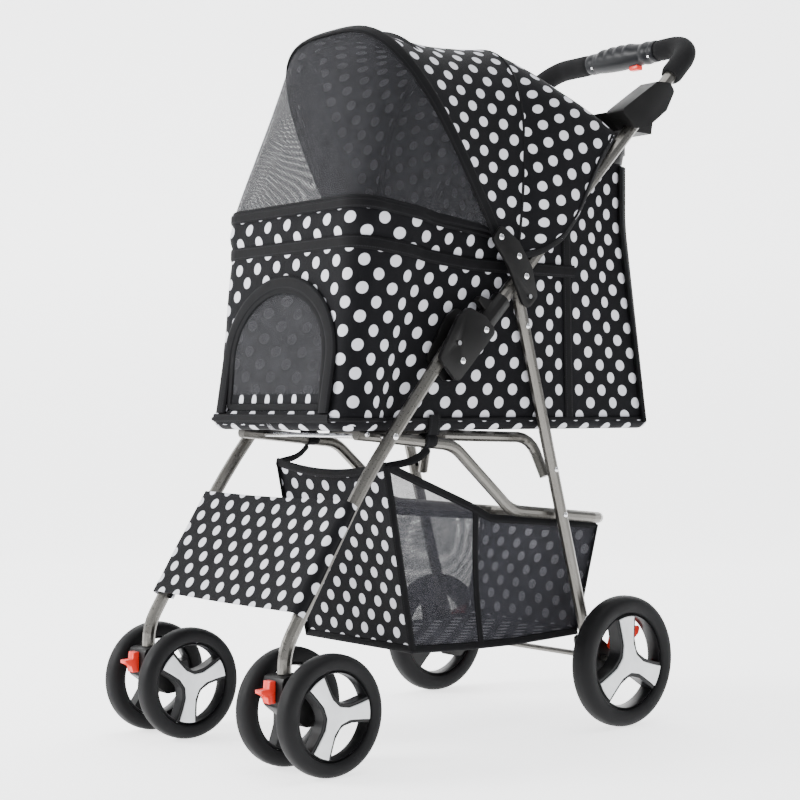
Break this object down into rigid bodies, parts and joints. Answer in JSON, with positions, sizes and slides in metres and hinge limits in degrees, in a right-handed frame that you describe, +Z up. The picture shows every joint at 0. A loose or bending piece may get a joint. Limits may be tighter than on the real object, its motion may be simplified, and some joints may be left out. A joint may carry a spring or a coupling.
{
  "type": "pet stroller",
  "caption": "Folding pet stroller: tube frame with swivel caster pairs, spotted cloth cabin with mesh door, hooded canopy, cup tray on the handle and a basket below.",
  "frame": {"origin": "on the floor, at the middle of the whole stroller's length and width", "axes": "+Z up, -Y towards the front casters, +X to the stroller's left side"},
  "size_m": [0.4126, 0.7815, 0.9685],
  "materials": {
    "painted_tube": "satin",
    "black_plastic": "moulded",
    "red_plastic": "gloss",
    "wheel_silver": "silver-white",
    "tyre_rubber": "matt",
    "foam": "foam",
    "rivet_steel": "bright",
    "dotted_cloth": "woven, light dots",
    "mesh_cloth": "mesh",
    "floor_board": "covered board"
  },
  "bodies": {
    "front_frame": {"front_leg_left": "painted_tube", "front_leg_right": "painted_tube", "leg_panel": "dotted_cloth", "link_cross_rod": "rivet_steel", "fold_pin_left": "rivet_steel", "fold_pin_right": "rivet_steel"},
    "caster_left": {"caster_housing_left": "black_plastic", "caster_axle_left": "rivet_steel"},
    "swivel_lock_left": {"swivel_lock_left": "red_plastic"},
    "front_outer_wheel_left": {"front_outer_wheel_left_tyre": "tyre_rubber", "front_outer_wheel_left_hub": "wheel_silver"},
    "front_inner_wheel_left": {"front_inner_wheel_left_tyre": "tyre_rubber", "front_inner_wheel_left_hub": "wheel_silver"},
    "caster_right": {"caster_housing_right": "black_plastic", "caster_axle_right": "rivet_steel"},
    "swivel_lock_right": {"swivel_lock_right": "red_plastic"},
    "front_outer_wheel_right": {"front_outer_wheel_right_tyre": "tyre_rubber", "front_outer_wheel_right_hub": "wheel_silver"},
    "front_inner_wheel_right": {"front_inner_wheel_right_tyre": "tyre_rubber", "front_inner_wheel_right_hub": "wheel_silver"},
    "handle": {"handle_tube": "painted_tube", "foam_grip_left": "foam", "foam_grip_right": "foam", "centre_grip": "black_plastic", "fold_bracket_left": "black_plastic", "fold_bracket_right": "black_plastic", "side_bracket_left": "black_plastic", "side_bracket_right": "black_plastic", "rear_leg_pin_left": "rivet_steel", "rear_leg_pin_right": "rivet_steel", "parent_tray": "black_plastic"},
    "release_button": {"release_button": "red_plastic"},
    "lock_sleeve_left": {"lock_sleeve_left": "black_plastic"},
    "lock_sleeve_right": {"lock_sleeve_right": "black_plastic"},
    "rear_frame": {"rear_leg_left": "painted_tube", "rear_leg_right": "painted_tube", "axle_bracket_left": "black_plastic", "axle_bracket_right": "black_plastic", "rear_axle": "rivet_steel"},
    "rear_wheel_left": {"rear_wheel_left_tyre": "tyre_rubber", "rear_wheel_left_hub": "wheel_silver"},
    "brake_lever_left": {"brake_lever_left": "red_plastic"},
    "rear_wheel_right": {"rear_wheel_right_tyre": "tyre_rubber", "rear_wheel_right_hub": "wheel_silver"},
    "brake_lever_right": {"brake_lever_right": "red_plastic"},
    "link": {"lower_link_tube": "painted_tube", "storage_basket": "mesh_cloth"},
    "carrier": {"seat_frame_tube": "painted_tube", "floor_board": "floor_board", "floor_pad": "dotted_cloth", "carrier_front_wall": "dotted_cloth", "carrier_wall_left": "dotted_cloth", "carrier_wall_right": "dotted_cloth", "carrier_rear_wall": "dotted_cloth"},
    "door": {"door_flap": "mesh_cloth"},
    "canopy_mid": {"canopy_mid_bow": "black_plastic", "canopy_rear_cover": "dotted_cloth"},
    "canopy_front": {"canopy_front_bow": "black_plastic", "canopy_front_cover": "dotted_cloth", "canopy_mesh_front": "mesh_cloth"}
  },
  "joints": [
    {"name": "caster_swivel_left", "type": "hinge", "parent": "front_frame", "child": "caster_left", "pos_m": [0.151, -0.353, 0.1178], "axis": [0, 0, 1], "continuous": true},
    {"name": "swivel_lock_slide_left", "type": "slide", "parent": "caster_left", "child": "swivel_lock_left", "axis": [0, 0, 1], "range_m": [0, 0.005]},
    {"name": "front_outer_wheel_spin_left", "type": "hinge", "parent": "caster_left", "child": "front_outer_wheel_left", "pos_m": [0.1917, -0.318, 0.0715], "axis": [1, 0, 0], "continuous": true},
    {"name": "front_inner_wheel_spin_left", "type": "hinge", "parent": "caster_left", "child": "front_inner_wheel_left", "pos_m": [0.1103, -0.318, 0.0715], "axis": [1, 0, 0], "continuous": true},
    {"name": "caster_swivel_right", "type": "hinge", "parent": "front_frame", "child": "caster_right", "pos_m": [-0.151, -0.353, 0.1178], "axis": [0, 0, 1], "continuous": true},
    {"name": "swivel_lock_slide_right", "type": "slide", "parent": "caster_right", "child": "swivel_lock_right", "axis": [0, 0, 1], "range_m": [0, 0.005]},
    {"name": "front_outer_wheel_spin_right", "type": "hinge", "parent": "caster_right", "child": "front_outer_wheel_right", "pos_m": [-0.1917, -0.318, 0.0715], "axis": [1, 0, 0], "continuous": true},
    {"name": "front_inner_wheel_spin_right", "type": "hinge", "parent": "caster_right", "child": "front_inner_wheel_right", "pos_m": [-0.1103, -0.318, 0.0715], "axis": [1, 0, 0], "continuous": true},
    {"name": "fold", "type": "hinge", "parent": "front_frame", "child": "handle", "pos_m": [0, -0.096, 0.508], "axis": [1, 0, 0], "range_deg": [0, 155], "deforming": ["carrier_front_wall", "carrier_wall_left", "carrier_wall_right", "carrier_rear_wall", "canopy_front_cover", "canopy_rear_cover", "canopy_mesh_front", "door_flap"]},
    {"name": "release_button_press", "type": "slide", "parent": "handle", "child": "release_button", "axis": [0, 0, 1], "range_m": [0, 0.003], "stiffness_N_per_m": 120},
    {"name": "lock_sleeve_slide_left", "type": "slide", "parent": "handle", "child": "lock_sleeve_left", "axis": [0, 0.7046, 0.7096], "range_m": [0, 0.012]},
    {"name": "lock_sleeve_slide_right", "type": "slide", "parent": "handle", "child": "lock_sleeve_right", "axis": [0, 0.7046, 0.7096], "range_m": [0, 0.012]},
    {"name": "rear_leg_pivot", "type": "hinge", "parent": "handle", "child": "rear_frame", "pos_m": [0, 0.0283, 0.57144], "axis": [1, 0, 0], "range_deg": [-61, 0]},
    {"name": "rear_wheel_spin_left", "type": "hinge", "parent": "rear_frame", "child": "rear_wheel_left", "pos_m": [0.1913, 0.176, 0.0875], "axis": [1, 0, 0], "continuous": true},
    {"name": "brake_lever_left", "type": "hinge", "parent": "rear_frame", "child": "brake_lever_left", "pos_m": [0.1645, 0.19, 0.108], "axis": [1, 0, 0], "range_deg": [-18, 0]},
    {"name": "rear_wheel_spin_right", "type": "hinge", "parent": "rear_frame", "child": "rear_wheel_right", "pos_m": [-0.1913, 0.176, 0.0875], "axis": [1, 0, 0], "continuous": true},
    {"name": "brake_lever_right", "type": "hinge", "parent": "rear_frame", "child": "brake_lever_right", "pos_m": [-0.1645, 0.19, 0.108], "axis": [1, 0, 0], "range_deg": [-18, 0]},
    {"name": "link_pivot", "type": "hinge", "parent": "front_frame", "child": "link", "pos_m": [0, -0.1922, 0.3915], "axis": [1, 0, 0], "range_deg": [0, 62]},
    {"name": "seat_pivot", "type": "hinge", "parent": "rear_frame", "child": "carrier", "pos_m": [0, 0.09143, 0.3448], "axis": [1, 0, 0], "range_deg": [-41, 0]},
    {"name": "door_hinge", "type": "hinge", "parent": "carrier", "child": "door", "pos_m": [0, -0.26181, 0.426], "axis": [1, 0, 0], "range_deg": [0, 120]},
    {"name": "canopy_mid_fold", "type": "hinge", "parent": "handle", "child": "canopy_mid", "pos_m": [0, -0.016, 0.6457], "axis": [1, 0, 0], "range_deg": [-37, 0], "deforming": ["canopy_front_cover", "canopy_rear_cover", "canopy_mesh_front"]},
    {"name": "canopy_front_fold", "type": "hinge", "parent": "canopy_mid", "child": "canopy_front", "pos_m": [0, -0.016, 0.6457], "axis": [1, 0, 0], "range_deg": [-32, 0], "deforming": ["canopy_front_cover", "canopy_rear_cover", "canopy_mesh_front"]}
  ],
  "couplings": [
    {"joint": "link_pivot", "follows": "fold", "ratio": 0.398},
    {"joint": "rear_leg_pivot", "follows": "fold", "ratio": -0.391},
    {"joint": "seat_pivot", "follows": "fold", "ratio": -0.26},
    {"joint": "canopy_mid_fold", "follows": "fold", "ratio": -0.235}
  ]
}
